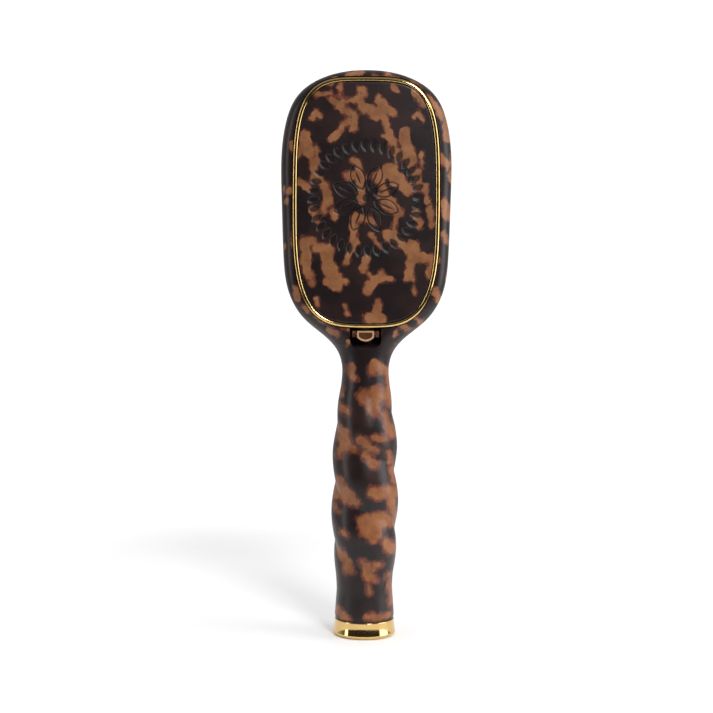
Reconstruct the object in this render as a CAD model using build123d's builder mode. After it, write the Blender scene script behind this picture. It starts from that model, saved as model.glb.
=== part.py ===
# Vanity hairbrush with a lidded mirror compartment in the back of the head.
# Millimetres. +X right, +Y towards the pins, +Z up the handle.
# The origin is the centre of the end cap's flat bottom face.
import os
from math import cos, sin, pi, sqrt, hypot, copysign
from build123d import *

os.makedirs("parts", exist_ok=True)

# ---- driving dimensions ----
TOTAL_H = 240.0          # end cap to top of head
HALF_T = 10.0            # half thickness of the head
EDGE_R = 6.0             # rounding of the head's long edges
NECK_Z = 113.0           # where the handle's twist has died out
NECK_R = 9.9
HANDLE_Z0 = 7.4          # lower end face of the handle
CROWN_Z = 239.8          # small flat at the crown
# right half of the head's outline, (x, z) from the crown to the neck
HEAD = [(17.3, 237.2), (28.9, 229.4), (34.3, 216.5), (35.7, 186.0), (34.9, 162.0), (32.9, 147.5),
        (26.3, 135.6), (17.3, 127.9), (11.9, 121.6), (9.9, 113.0)]
# twisted handle
TWIST_PITCH = 25.0       # crease spacing along Z, two starts
TWIST_Z = 66.0           # height of one crease on the left side
VALLEY = [(7.4, 12.35), (7.8, 12.6), (9, 12.7), (13, 12.4), (20, 11.9), (26, 11.8), (43, 12.8), (68, 12.5),
          (90, 11.9), (100, 10.9), (107, 10.1), (113, 9.9)]
LOBE = [(18, 0.0), (37, 1.3), (50, 1.7), (80, 1.7), (97, 1.0), (112, 0.0)]
BORE_R, BORE_TOP = 7.5, 96.0
# lid outline: superellipse with a squarer upper half
LID_A, LID_B, LID_Z = 30.8, 52.2, 184.0
LID_N_UP, LID_N_LOW = 3.75, 3.3
SEAT_GAP = 0.35          # round the lid
SEAT_TOP = 0.3           # further gap at the lid's top, for its swing
SEAT_Y = -8.0            # ledge under the lid
BASE_Y0, BASE_Y1 = -9.2, -8.3
RING_W, RING_Y = 1.8, -10.6
PANEL_GAP = 0.12
PANEL_Y, PANEL_R = -11.0, 600.0
ENGRAVE = 0.45
# compartment
BOX_A, BOX_B, BOX_Z, BOX_N = 26.3, 42.0, 179.0, 4.0
BOX_FLOOR = 1.5
FRAME_Y = -7.0           # underside of the mirror frame
LINER_Y = -6.7           # top of the liner, just under the mirror frame
# hinge, its axis near the head's front face, so that the lid's upper edge swings clear of the head
HINGE_Y, HINGE_Z = -9.0, 229.5
HINGE_PIN_R, KNUCKLE_R, RUN = 0.5, 1.05, 0.05
KNUCKLE_ROOM = 0.25
SCREW_X, SCREW_Z = 7.5, 225.05
# small reliefs in the rim beside the hinge, where the shoulders of the lid's ring swing through
SWING_X0, SWING_X1, SWING_Y, SWING_Z0, SWING_Z1 = 23.0, 24.95, -8.6, 229.4, 231.25
BAY_Y = -0.5
BRACKET_X, BRACKET_Z0, BRACKET_Z1 = 17.9, 222.7, 227.4
# latch
LATCH_Y, LATCH_Z = -4.6, 129.4
PIN_R = 0.6
NOTCH_X, NOTCH_Z0, NOTCH_Y = 6.6, 124.6, -2.6
LUG_X0, LUG_X1 = 4.2, 5.6
# cushion side
CUP_A, CUP_B, CUP_Z, CUP_N, CUP_Y = 30.0, 49.5, 184.0, 3.5, 4.0
DOME_Y0, DOME_H, DOME_P = 8.4, 4.6, 2.4
PAD_A, PAD_B, PAD_T = 29.0, 48.5, 1.4
PIN_LEN, BRISTLE_R, TIP_R, PIN_STEP = 15.5, 0.55, 0.95, 5.4
PIN_REACH = 0.86         # outermost pins, as a share of the pad's outline


def ramp(table, z):
    """Straight-line value of a (z, value) table."""
    if z <= table[0][0]:
        return table[0][1]
    for (z0, v0), (z1, v1) in zip(table, table[1:]):
        if z <= z1:
            return v0 + (v1 - v0) * (z - z0) / (z1 - z0)
    return table[-1][1]


def oval(a, b, zc, n_up, n_low=None, grow=0.0, top=0.0, count=56):
    """Points on a superellipse in (x, z), moved outwards by grow along its normal."""
    out = []
    for k in range(count):
        t = 2 * pi * (k + 0.5) / count
        n = n_up if sin(t) > 0 or n_low is None else n_low
        bb = b + (top if sin(t) > 0 else 0.0)
        x = a * copysign(abs(cos(t)) ** (2 / n), cos(t))
        z = bb * copysign(abs(sin(t)) ** (2 / n), sin(t))
        gx = copysign(abs(x / a) ** (n - 1) / a, x)
        gz = copysign(abs(z / bb) ** (n - 1) / bb, z)
        g = hypot(gx, gz)
        out.append((x + grow * gx / g, zc + z + grow * gz / g))
    return out


def lid_oval(grow=0.0, top=0.0):
    return oval(LID_A, LID_B, LID_Z, LID_N_UP, LID_N_LOW, grow, top)


def cup_oval(a, b):
    return oval(a, b, CUP_Z, CUP_N)


def slab(points, y0, y1):
    """Closed spline outline in XZ, extruded from y0 to y1."""
    with BuildPart() as s:
        with BuildSketch(Plane.XZ.offset(-y1)):
            with BuildLine():
                Spline(*points, periodic=True)
            make_face()
        extrude(amount=y1 - y0)
    return s.part


def brick(x0, x1, y0, y1, z0, z1):
    with BuildPart() as s:
        with Locations(((x0 + x1) / 2, (y0 + y1) / 2, (z0 + z1) / 2)):
            Box(x1 - x0, y1 - y0, z1 - z0)
    return s.part


def rod_x(y, z, r, x0, x1):
    """Cylinder along X."""
    with BuildPart() as s:
        with BuildSketch(Plane.YZ.offset(x0)):
            with Locations((y, z)):
                Circle(r)
        extrude(amount=x1 - x0)
    return s.part


def rod_y(x, z, r, y0, y1):
    """Cylinder along Y."""
    with BuildPart() as s:
        with BuildSketch(Plane.XZ.offset(-y1)):
            with Locations((x, z)):
                Circle(r)
        extrude(amount=y1 - y0)
    return s.part


def prism_x(points, x0, x1):
    """Polygon in (y, z), extruded along X."""
    with BuildPart() as s:
        with BuildSketch(Plane.YZ.offset(x0)):
            with BuildLine():
                Polyline(*points, close=True)
            make_face()
        extrude(amount=x1 - x0)
    return s.part


# ---- skin of the handle and neck: horizontal sections ----
outline = [(-x, z) for x, z in reversed(HEAD)] + [(0.0, TOTAL_H)] + HEAD
with BuildLine() as head_line:
    Spline(*outline, tangents=[(0, 1), (0, -1)])
edge = head_line.line
side = [edge @ (0.5 + 0.5 * k / 600) for k in range(601)]
side = [(p.Y, p.X) for p in reversed(side)]       # (z, x) upwards


def half_width(z):
    return ramp(side, z)


def twist_radius(th, z):
    crease = TWIST_Z - TWIST_PITCH * th / pi + 2.25 * (1 - cos(th)) - 1.75 * sin(th)
    s = sin(pi * (z - crease) / TWIST_PITCH)
    lobe = (sqrt(s * s + 0.02) - sqrt(0.02)) / (sqrt(1.02) - sqrt(0.02))
    return ramp(VALLEY, z) + ramp(LOBE, z) * lobe


def section(z, count=64):
    pts = []
    if z <= NECK_Z:
        for k in range(count):
            phi = 2 * pi * k / count
            r = twist_radius((phi - pi) % (2 * pi), z)
            pts.append((r * cos(phi), r * sin(phi)))
        return pts
    w = half_width(z)
    slope = (half_width(z + 0.5) - half_width(z - 0.5))
    lean = 1 / sqrt(1 + slope * slope)
    t = min(max((150.0 - z) / 32.0, 0.0), 1.0)
    rad = EDGE_R + (NECK_R - EDGE_R) * t * t * (3 - 2 * t)
    quarter = [(w, (HALF_T - rad) * j / 12) for j in range(12)]
    for j in range(61):
        a = pi / 2 * j / 60
        x = w - rad * (1 - cos(a)) / lean
        if x < 0:
            break
        quarter.append((x, HALF_T - rad + rad * sin(a)))
    x_end, y_end = quarter[-1]
    quarter += [(x_end * (1 - j / 20), y_end) for j in range(1, 21)]
    run = [0.0]
    for j in range(1, len(quarter)):
        dx, dy = quarter[j][0] - quarter[j - 1][0], quarter[j][1] - quarter[j - 1][1]
        corner = 12 <= j <= 72 and quarter[j][1] > quarter[j - 1][1]
        run.append(run[-1] + hypot(dx, dy) * (1.6 if corner else 1.0))
    per = count // 4
    quad = []
    for k in range(per + 1):
        target = run[-1] * k / per
        j = 1
        while j < len(run) - 1 and run[j] < target:
            j += 1
        f = (target - run[j - 1]) / max(run[j] - run[j - 1], 1e-9)
        quad.append((quarter[j - 1][0] + f * (quarter[j][0] - quarter[j - 1][0]),
                     quarter[j - 1][1] + f * (quarter[j][1] - quarter[j - 1][1])))
    pts = quad[:-1] + [(-x, y) for x, y in reversed(quad)][:-1]
    pts += [(-x, -y) for x, y in pts]
    return pts


levels = [7.4, 7.8, 8.6, 10.5] + [12.5 + 1.75 * k for k in range(57)] + [NECK_Z]
levels += [115, 117, 119, 121, 123, 125, 127, 129, 131, 133, 135.5, 138, 141, 145, 150, 156, 163, 171, 180, 190]
levels += [200, 208, 214, 219, 223, 226.5, 229.5, 232, 234, 235.7, 237.1, 238.2, 239, 239.5, CROWN_Z]
faces = []
for z in levels:
    with BuildSketch(Plane.XY.offset(z)) as cut:
        with BuildLine():
            Spline(*section(z), periodic=True)
        make_face()
    faces.append(cut.sketch.face())

# lofted in lengths that share their end sections
BREAKS = [40.5, 75.5, NECK_Z]
with BuildPart() as skin:
    start = 0
    for stop in BREAKS + [CROWN_Z]:
        end = max(i for i, z in enumerate(levels) if z <= stop + 0.01)
        loft(faces[start:end + 1])
        start = end

# ---- brush body ----
with BuildPart() as lid_seat:
    add(slab(lid_oval(SEAT_GAP, SEAT_TOP), -14.0, SEAT_Y))
with BuildPart() as hinge_bay:
    add(slab(lid_oval(SEAT_GAP, SEAT_TOP), SEAT_Y - 0.01, BAY_Y))
    with Locations((0, 0, 227.6 - 60)):
        Box(100, 60, 120, mode=Mode.SUBTRACT)
with BuildPart() as notch:
    add(prism_x([(-13, 122.4), (-10, 123.5), (-7.6, NOTCH_Z0), (NOTCH_Y, NOTCH_Z0), (NOTCH_Y, 132.0),
                 (-13, 132.0)], -NOTCH_X, NOTCH_X))
    notch_corners = [e for e in notch.edges() if abs(abs(e.center().X) - NOTCH_X) < 0.01
                     and e.center().Z < 124.8 and e.center().Y < NOTCH_Y - 0.1]
    fillet(notch_corners, 2.2)

with BuildPart() as brush_body:
    add(skin.part)
    add(lid_seat.part, mode=Mode.SUBTRACT)
    add(slab(oval(BOX_A, BOX_B, BOX_Z, BOX_N), SEAT_Y - 0.01, BOX_FLOOR), mode=Mode.SUBTRACT)
    add(hinge_bay.part, mode=Mode.SUBTRACT)
    for sx in (-1, 1):
        x0, x1 = sorted((sx * SWING_X0, sx * SWING_X1))
        add(brick(x0, x1, -14.0, SWING_Y, SWING_Z0, SWING_Z1), mode=Mode.SUBTRACT)
    bx = BRACKET_X + 0.1
    add(brick(-bx, bx, SEAT_Y - 0.01, BAY_Y, BRACKET_Z0 - 0.1, 227.7), mode=Mode.SUBTRACT)
    add(slab(cup_oval(CUP_A, CUP_B), CUP_Y, 14.0), mode=Mode.SUBTRACT)
    with BuildSketch(Plane.XY.offset(HANDLE_Z0 - 1)):
        Circle(BORE_R)
    extrude(amount=BORE_TOP - HANDLE_Z0 + 1, mode=Mode.SUBTRACT)
    add(notch.part, mode=Mode.SUBTRACT)
    add(brick(-3.2, 3.2, SEAT_Y - 0.05, -5.2, 131.0, 135.6), mode=Mode.SUBTRACT)
    for sx in (-1, 1):
        x0, x1 = sorted((sx * LUG_X0, sx * LUG_X1))
        add(brick(x0, x1, -8.6, NOTCH_Y + 0.2, 127.9, 130.5))
    add(rod_x(LATCH_Y, LATCH_Z, PIN_R, -LUG_X1 - 0.1, LUG_X1 + 0.1), mode=Mode.SUBTRACT)
    for x in (-SCREW_X, SCREW_X):
        add(rod_y(x, SCREW_Z, 0.8, BAY_Y - 0.01, 2.5), mode=Mode.SUBTRACT)
    for x in (-20, 20):
        for z in (160, 208):
            add(rod_y(x, z, 0.8, 2.1, CUP_Y + 0.01), mode=Mode.SUBTRACT)
brush_body.part.label = "brush_body"
export_step(brush_body.part, "parts/brush_body.step")

# ---- storage compartment ----
with BuildPart() as compartment_liner:
    add(slab(oval(BOX_A - 0.05, BOX_B - 0.05, BOX_Z, BOX_N), LINER_Y, BOX_FLOOR))
    add(slab(oval(BOX_A - 1.05, BOX_B - 1.05, BOX_Z, BOX_N), SEAT_Y - 1, BOX_FLOOR - 1.0), mode=Mode.SUBTRACT)
compartment_liner.part.label = "compartment_liner"
export_step(compartment_liner.part, "parts/compartment_liner.step")

with BuildPart() as liner_pad:
    add(slab(oval(BOX_A - 1.2, BOX_B - 1.2, BOX_Z, BOX_N), BOX_FLOOR - 1.8, BOX_FLOOR - 1.0))
liner_pad.part.label = "liner_pad"
export_step(liner_pad.part, "parts/liner_pad.step")

# ---- hinge ----
HINGE_X = [(-15.4, -12.0), (-2.5, 2.5), (12.0, 15.4)]          # bracket knuckles
LID_X = [(-11.7, -2.8), (2.8, 11.7)]                           # lid knuckles
with BuildPart() as hinge_bracket:
    add(brick(-BRACKET_X, BRACKET_X, -5.0, BAY_Y, BRACKET_Z0, BRACKET_Z1))
    # each arm runs from the back of its knuckle, behind the closed lid and below the open one, to the plate
    for x0, x1 in HINGE_X:
        add(rod_x(HINGE_Y, HINGE_Z, KNUCKLE_R, x0, x1))
        add(prism_x([(HINGE_Y + 0.4, HINGE_Z - 0.55), (HINGE_Y + 0.72, HINGE_Z - 0.42),
                     (HINGE_Y + 1.3, HINGE_Z - 0.95), (-5.0, BRACKET_Z1), (-2.0, BRACKET_Z1),
                     (-2.0, BRACKET_Z1 - 2.6), (-5.0, BRACKET_Z1 - 2.6),
                     (HINGE_Y + 0.8, HINGE_Z - 1.15)], x0, x1))
    add(rod_x(HINGE_Y, HINGE_Z, HINGE_PIN_R, -16, 16), mode=Mode.SUBTRACT)
    for x in (-SCREW_X, SCREW_X):
        add(rod_y(x, SCREW_Z, 1.0, -6, 0), mode=Mode.SUBTRACT)
hinge_bracket.part.label = "hinge_bracket"
export_step(hinge_bracket.part, "parts/hinge_bracket.step")

with BuildPart() as hinge_pin:
    add(rod_x(HINGE_Y, HINGE_Z, HINGE_PIN_R, -15.4, 15.4))
hinge_pin.part.label = "hinge_pin"
export_step(hinge_pin.part, "parts/hinge_pin.step")

with BuildPart() as bracket_screws:
    for x in (-SCREW_X, SCREW_X):
        add(rod_y(x, SCREW_Z, 0.8, -5.0, 2.4))
        add(rod_y(x, SCREW_Z, 1.7, -6.0, -5.0))
bracket_screws.part.label = "bracket_screws"
export_step(bracket_screws.part, "parts/bracket_screws.step")

# ---- lid ----
with BuildPart() as knuckle_room:
    for x0, x1 in HINGE_X:
        add(rod_x(HINGE_Y, HINGE_Z, KNUCKLE_R + KNUCKLE_ROOM, x0 - KNUCKLE_ROOM, x1 + KNUCKLE_ROOM))
with BuildPart() as lid_base:
    add(slab(lid_oval(), BASE_Y0, BASE_Y1))
    add(knuckle_room.part, mode=Mode.SUBTRACT)
    for x0, x1 in LID_X:
        add(rod_x(HINGE_Y, HINGE_Z, KNUCKLE_R, x0, x1))
    add(rod_x(HINGE_Y, HINGE_Z, HINGE_PIN_R + RUN, -16, 16), mode=Mode.SUBTRACT)
lid_base.part.label = "lid_base"
export_step(lid_base.part, "parts/lid_base.step")

with BuildPart() as lid_ring:
    add(slab(lid_oval(), RING_Y, BASE_Y0))
    add(slab(lid_oval(-RING_W), RING_Y - 1, BASE_Y0 + 1), mode=Mode.SUBTRACT)
    crest = [e for e in lid_ring.edges() if abs(e.center().Y - RING_Y) < 0.01]
    fillet(crest, 0.85)
lid_ring.part.label = "lid_ring"
export_step(lid_ring.part, "parts/lid_ring.step")


def barrel(y_top):
    """Everything on the inner side of a barrel-curved face along Z."""
    with BuildPart() as s:
        with BuildSketch(Plane.XY.offset(100)):
            with BuildLine():
                sag = 40 * 40 / (2 * PANEL_R)
                a = (-40, y_top + sag)
                b = (40, y_top + sag)
                ThreePointArc(a, (0, y_top), b)
                Polyline(b, (40, 5), (-40, 5), a)
            make_face()
        extrude(amount=160)
    return s.part


def petal(length, width):
    """Pointed leaf along +Y of a sketch, its root at the origin."""
    with BuildSketch() as s:
        with BuildLine():
            ThreePointArc((0, 0), (width / 2, length * 0.55), (0, length))
            ThreePointArc((0, length), (-width / 2, length * 0.55), (0, 0))
        make_face()
    return s.sketch


leaf = petal(4.6, 2.4)
flower = petal(11.5, 6.4)
flower_core = petal(9.2, 4.8)
vein = petal(6.4, 1.0)

# ornament: a wreath of leaves, an open eight-petal flower inside
with BuildPart() as ornament:
    with BuildSketch(Plane.XZ.offset(8)):
        with Locations((0, 186)):
            with PolarLocations(19.8, 36, start_angle=0):
                add(leaf, rotation=-90 + 14)
            with PolarLocations(3.4, 8, start_angle=22.5):
                add(flower, rotation=-90)
            with PolarLocations(4.7, 8, start_angle=22.5):
                add(flower_core, rotation=-90, mode=Mode.SUBTRACT)
            with PolarLocations(5.8, 8, start_angle=22.5):
                add(vein, rotation=-90)
            Circle(1.9)
    extrude(amount=5)
    add(barrel(PANEL_Y + ENGRAVE), mode=Mode.SUBTRACT)

with BuildPart() as lid_panel:
    add(slab(lid_oval(-RING_W - PANEL_GAP), -14.0, BASE_Y0))
    add(barrel(PANEL_Y), mode=Mode.INTERSECT)
    add(ornament.part, mode=Mode.SUBTRACT)
    add(knuckle_room.part, mode=Mode.SUBTRACT)
    for x0, x1 in LID_X:
        add(rod_x(HINGE_Y, HINGE_Z, KNUCKLE_R + RUN, x0 - RUN, x1 + RUN), mode=Mode.SUBTRACT)
lid_panel.part.label = "lid_panel"
export_step(lid_panel.part, "parts/lid_panel.step")

with BuildPart() as mirror_frame:
    add(slab(oval(BOX_A - 0.5, BOX_B - 0.6, BOX_Z, BOX_N), BASE_Y1, FRAME_Y))
    add(slab(oval(BOX_A - 1.75, BOX_B - 1.85, BOX_Z, BOX_N), BASE_Y1 - 1, -6.0), mode=Mode.SUBTRACT)
    inner_rim = [e for e in mirror_frame.edges() if abs(e.center().Y - FRAME_Y) < 0.01]
    fillet(inner_rim, 0.35)
mirror_frame.part.label = "mirror_frame"
export_step(mirror_frame.part, "parts/mirror_frame.step")

with BuildPart() as mirror_glass:
    add(slab(oval(BOX_A - 1.85, BOX_B - 1.95, BOX_Z, BOX_N), BASE_Y1 + 0.15, -7.3))
mirror_glass.part.label = "mirror_glass"
export_step(mirror_glass.part, "parts/mirror_glass.step")

with BuildPart() as mirror_tape:
    add(slab(oval(BOX_A - 3.0, BOX_B - 3.1, BOX_Z, BOX_N), BASE_Y1, BASE_Y1 + 0.15))
mirror_tape.part.label = "mirror_tape"
export_step(mirror_tape.part, "parts/mirror_tape.step")

with BuildPart() as lid_catch:
    add(prism_x([(BASE_Y1, 132.6), (-6.9, 132.6), (-6.9, 131.6), (-5.9, 131.6), (-5.9, 133.8),
                 (BASE_Y1 + 0.6, 133.8), (BASE_Y1 + 0.6, 135.3), (BASE_Y1, 135.3)], -2.5, 2.5))
lid_catch.part.label = "lid_catch"
export_step(lid_catch.part, "parts/lid_catch.step")

# ---- latch ----
with BuildPart() as latch_lever:
    add(rod_x(LATCH_Y, LATCH_Z, 1.2, -3.9, 3.9))
    add(prism_x([(-8.0, 128.8), (-8.0, 130.2), (LATCH_Y, 130.2), (LATCH_Y, 128.6)], -3.0, 3.0))
    with BuildSketch(Plane.XZ.offset(7.9)):
        with BuildLine():
            Polyline((-3.6, 127.9), (-3.6, 130.5), (3.6, 130.5), (3.6, 127.9))
            ThreePointArc((3.6, 127.9), (0, 126.1), (-3.6, 127.9))
        make_face()
    extrude(amount=1.3)
    with BuildSketch(Plane.XZ.offset(8.85)):
        with BuildLine():
            Polyline((-2.8, 128.2), (-2.8, 129.8), (2.8, 129.8), (2.8, 128.2))
            ThreePointArc((2.8, 128.2), (0, 126.9), (-2.8, 128.2))
        make_face()
    extrude(amount=1.0, mode=Mode.SUBTRACT)
    add(prism_x([(-7.95, 129.6), (-7.95, 131.6), (-7.4, 132.2), (-7.2, 132.2), (-7.2, 129.6)], -2.2, 2.2))
    add(rod_x(LATCH_Y, LATCH_Z, PIN_R + RUN, -5, 5), mode=Mode.SUBTRACT)
latch_lever.part.label = "latch_lever"
export_step(latch_lever.part, "parts/latch_lever.step")

with BuildPart() as latch_pin:
    add(rod_x(LATCH_Y, LATCH_Z, PIN_R, -LUG_X1, LUG_X1))
latch_pin.part.label = "latch_pin"
export_step(latch_pin.part, "parts/latch_pin.step")

with BuildPart() as latch_spring:
    with BuildLine() as coil:
        Helix(pitch=1.12, height=4.88, radius=0.8, center=(0, -7.7, 127.15), direction=(0, 1, 0))
    with BuildSketch(Plane(origin=coil.line @ 0, z_dir=coil.line % 0)):
        Circle(0.15)
    sweep(is_frenet=True)
latch_spring.part.label = "latch_spring"
export_step(latch_spring.part, "parts/latch_spring.step")

# ---- cushion and pins ----
with BuildPart() as cushion_plate:
    add(slab(cup_oval(CUP_A - 0.6, CUP_B - 0.6), CUP_Y, CUP_Y + 1.4))
    for x in (-20, 20):
        for z in (160, 208):
            add(rod_y(x, z, 1.0, CUP_Y - 1, CUP_Y + 3), mode=Mode.SUBTRACT)
cushion_plate.part.label = "cushion_plate"
export_step(cushion_plate.part, "parts/cushion_plate.step")

with BuildPart() as plate_screws:
    for x in (-20, 20):
        for z in (160, 208):
            add(rod_y(x, z, 0.8, 2.2, CUP_Y + 1.4))
            add(rod_y(x, z, 1.9, CUP_Y + 1.4, CUP_Y + 2.4))
plate_screws.part.label = "plate_screws"
export_step(plate_screws.part, "parts/plate_screws.step")


def share(x, z):
    """0 at the pad's centre, 1 on its outline."""
    return (abs(x / PAD_A) ** CUP_N + abs((z - CUP_Z) / PAD_B) ** CUP_N) ** (1 / CUP_N)


def dome_y(s):
    return DOME_Y0 + DOME_H * (1 - s ** DOME_P)


def dome(inset, drop, y_low):
    """Pillow shape: superellipses that shrink towards the crown."""
    rings = [(1.0, y_low), (1.0, (y_low + DOME_Y0 - drop - 0.3) / 2), (1.0, DOME_Y0 - drop - 0.3)]
    rings += [(s, dome_y(s) - drop) for s in (0.965, 0.92, 0.85, 0.75, 0.62, 0.47, 0.3, 0.12)]
    with BuildPart() as s:
        cuts = []
        for f, y in rings:
            with BuildSketch(Plane.XZ.offset(-y)) as c:
                with BuildLine():
                    Spline(*cup_oval((PAD_A - inset) * f, (PAD_B - inset) * f), periodic=True)
                make_face()
            cuts.append(c.sketch.face())
        loft(cuts)
    return s.part


with BuildPart() as pad_cushion:
    add(dome(0.0, 0.0, CUP_Y + 1.4))
    add(dome(PAD_T, PAD_T, CUP_Y - 1.0), mode=Mode.SUBTRACT)
pad_cushion.part.label = "pad_cushion"
export_step(pad_cushion.part, "parts/pad_cushion.step")

with BuildPart() as cushion_trim:
    add(slab(cup_oval(CUP_A - 0.05, CUP_B - 0.05), 5.6, 10.5))
    add(slab(cup_oval(PAD_A + 0.05, PAD_B + 0.05), 5.0, 9.1), mode=Mode.SUBTRACT)
    add(slab(cup_oval(PAD_A - 0.9, PAD_B - 0.9), 5.0, 12.0), mode=Mode.SUBTRACT)
    trim_crest = [e for e in cushion_trim.edges() if abs(e.center().Y - 10.5) < 0.01]
    fillet(trim_crest, 0.6)
cushion_trim.part.label = "cushion_trim"
export_step(cushion_trim.part, "parts/cushion_trim.step")

spots = []
rows = int(PAD_B / PIN_STEP) + 1
for j in range(-rows, rows + 1):
    shift = 0.5 * PIN_STEP if j % 2 else 0.0
    for i in range(-8, 9):
        x, z = i * PIN_STEP + shift, CUP_Z + j * PIN_STEP * 0.87
        if share(x, z) <= PIN_REACH:
            spots.append((x, z))

TIP_CUT = 0.55           # the tip's flat root below its centre
with BuildPart() as pin:
    add(rod_y(0, 0, 1.3, -PAD_T - 0.8, -PAD_T))
    add(rod_y(0, 0, BRISTLE_R, -PAD_T, PIN_LEN - TIP_CUT))
with BuildPart() as tip:
    with BuildSketch(Plane.XY):
        with BuildLine():
            root = (sqrt(TIP_R ** 2 - TIP_CUT ** 2), PIN_LEN - TIP_CUT)
            Polyline((0, PIN_LEN + TIP_R), (0, PIN_LEN - TIP_CUT), root)
            ThreePointArc(root, (TIP_R * cos(0.3), PIN_LEN + TIP_R * sin(0.3)), (0, PIN_LEN + TIP_R))
        make_face()
    revolve(axis=Axis.Y)

for name, shape in (("bristle_pins", pin.part), ("pin_tips", tip.part)):
    field = Compound(children=[shape.moved(Location((x, dome_y(share(x, z)), z))) for x, z in spots])
    field.label = name
    export_step(field, "parts/" + name + ".step")

# ---- end cap ----
with BuildPart() as end_cap:
    with BuildSketch(Plane.XZ):
        with BuildLine():
            Polyline((0, 0), (12.0, 0))
            ThreePointArc((12.0, 0), (12.98, 0.4), (13.4, 1.4))
            Polyline((13.4, 1.4), (12.8, 6.7), (12.55, 7.0), (11.5, 7.0), (11.5, 1.5), (3.2, 1.5), (3.2, 5.4),
                     (1.9, 5.4), (1.9, 1.8), (0, 1.8), (0, 0))
        make_face()
    revolve(axis=Axis.Z)
end_cap.part.label = "end_cap"
export_step(end_cap.part, "parts/end_cap.step")

with BuildPart() as cap_plug:
    with BuildSketch(Plane.XZ):
        with BuildLine():
            Polyline((1.9, 5.6), (11.4, 5.6), (11.4, 7.0), (7.45, 7.0), (7.45, 20.0), (0, 20.0), (0, 12.0),
                     (1.9, 12.0), close=True)
        make_face()
    revolve(axis=Axis.Z)
cap_plug.part.label = "cap_plug"
export_step(cap_plug.part, "parts/cap_plug.step")

with BuildPart() as cap_stud:
    with Locations((0, 0, 6.95)):
        Cylinder(1.9, 9.7)
cap_stud.part.label = "cap_stud"
export_step(cap_stud.part, "parts/cap_stud.step")

with BuildPart() as cap_gasket:
    with Locations((0, 0, (7.0 + HANDLE_Z0) / 2)):
        Cylinder(12.1, HANDLE_Z0 - 7.0)
        Cylinder(7.6, HANDLE_Z0 - 7.0, mode=Mode.SUBTRACT)
cap_gasket.part.label = "cap_gasket"
export_step(cap_gasket.part, "parts/cap_gasket.step")
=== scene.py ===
import math
import bpy
import numpy as np
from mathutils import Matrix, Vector


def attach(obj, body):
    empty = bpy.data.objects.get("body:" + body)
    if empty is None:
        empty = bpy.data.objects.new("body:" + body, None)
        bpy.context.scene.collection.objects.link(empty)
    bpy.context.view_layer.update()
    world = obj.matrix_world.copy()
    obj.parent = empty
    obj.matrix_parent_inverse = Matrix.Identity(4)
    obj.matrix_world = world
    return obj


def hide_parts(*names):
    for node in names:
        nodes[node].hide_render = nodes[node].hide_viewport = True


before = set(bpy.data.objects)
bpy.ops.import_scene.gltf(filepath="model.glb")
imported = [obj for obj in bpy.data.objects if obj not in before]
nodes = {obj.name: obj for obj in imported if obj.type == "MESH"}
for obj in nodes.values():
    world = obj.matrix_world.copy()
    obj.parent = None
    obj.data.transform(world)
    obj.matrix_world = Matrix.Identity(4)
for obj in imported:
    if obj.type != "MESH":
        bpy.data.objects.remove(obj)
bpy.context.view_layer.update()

MM = 0.001
scene = bpy.context.scene

# ------------------------------------------------------------------ outline
HALF_T, EDGE_R, NECK_R, NECK_Z, Z0 = 10.0, 6.0, 9.9, 113.0, 7.4
HEAD = [(17.3, 237.2), (28.9, 229.4), (34.3, 216.5), (35.7, 186.0), (34.9, 162.0), (32.9, 147.5),
        (26.3, 135.6), (17.3, 127.9), (11.9, 121.6), (9.9, 113.0)]
PITCH, TWIST_Z, CREASE = 25.0, 66.0, 0.006
VALLEY = [(7.4, 12.35), (7.8, 12.6), (9, 12.7), (13, 12.4), (20, 11.9), (26, 11.8), (43, 12.8), (68, 12.5),
          (90, 11.9), (100, 10.9), (107, 10.1), (113, 9.9)]
LOBE = [(18, 0.0), (37, 1.3), (50, 1.7), (80, 1.7), (97, 1.0), (112, 0.0)]
LID_A, LID_B, LID_Z, LID_UP, LID_LOW = 30.8, 52.2, 184.0, 3.75, 3.3
BOX_A, BOX_B, BOX_Z, BOX_N = 26.3, 42.0, 179.0, 4.0
CUP_A, CUP_B, CUP_Z, CUP_N = 30.0, 49.5, 184.0, 3.5
PAD_A, PAD_B = 29.0, 48.5
HEAD_TOP = 240.0


def spline(pts, tan0, tan1, n=1200):
    """Cubic through points with chord-length spacing and set end directions."""
    p = np.array(pts, float)
    t = np.r_[0, np.cumsum(np.hypot(*np.diff(p, axis=0).T))]
    h = np.diff(t)
    m = len(p)
    out = []
    for c, d0, d1 in ((p[:, 0], tan0[0], tan1[0]), (p[:, 1], tan0[1], tan1[1])):
        a = np.zeros((m, m))
        b = np.zeros(m)
        a[0, :2] = 2 * h[0], h[0]
        b[0] = 6 * ((c[1] - c[0]) / h[0] - d0)
        a[-1, -2:] = h[-1], 2 * h[-1]
        b[-1] = 6 * (d1 - (c[-1] - c[-2]) / h[-1])
        for i in range(1, m - 1):
            a[i, i - 1:i + 2] = h[i - 1], 2 * (h[i - 1] + h[i]), h[i]
            b[i] = 6 * ((c[i + 1] - c[i]) / h[i] - (c[i] - c[i - 1]) / h[i - 1])
        k = np.linalg.solve(a, b)
        s = np.linspace(0, t[-1], n)
        i = np.clip(np.searchsorted(t, s) - 1, 0, m - 2)
        u, v = t[i + 1] - s, s - t[i]
        out.append(k[i] * u ** 3 / (6 * h[i]) + k[i + 1] * v ** 3 / (6 * h[i])
                   + (c[i] / h[i] - k[i] * h[i] / 6) * u + (c[i + 1] / h[i] - k[i + 1] * h[i] / 6) * v)
    return np.stack(out, 1)


OUT = spline([(0.0, HEAD_TOP)] + HEAD, (1, 0), (0, -1))


def half_width(z):
    return np.interp(z, OUT[::-1, 1], OUT[::-1, 0])


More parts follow.
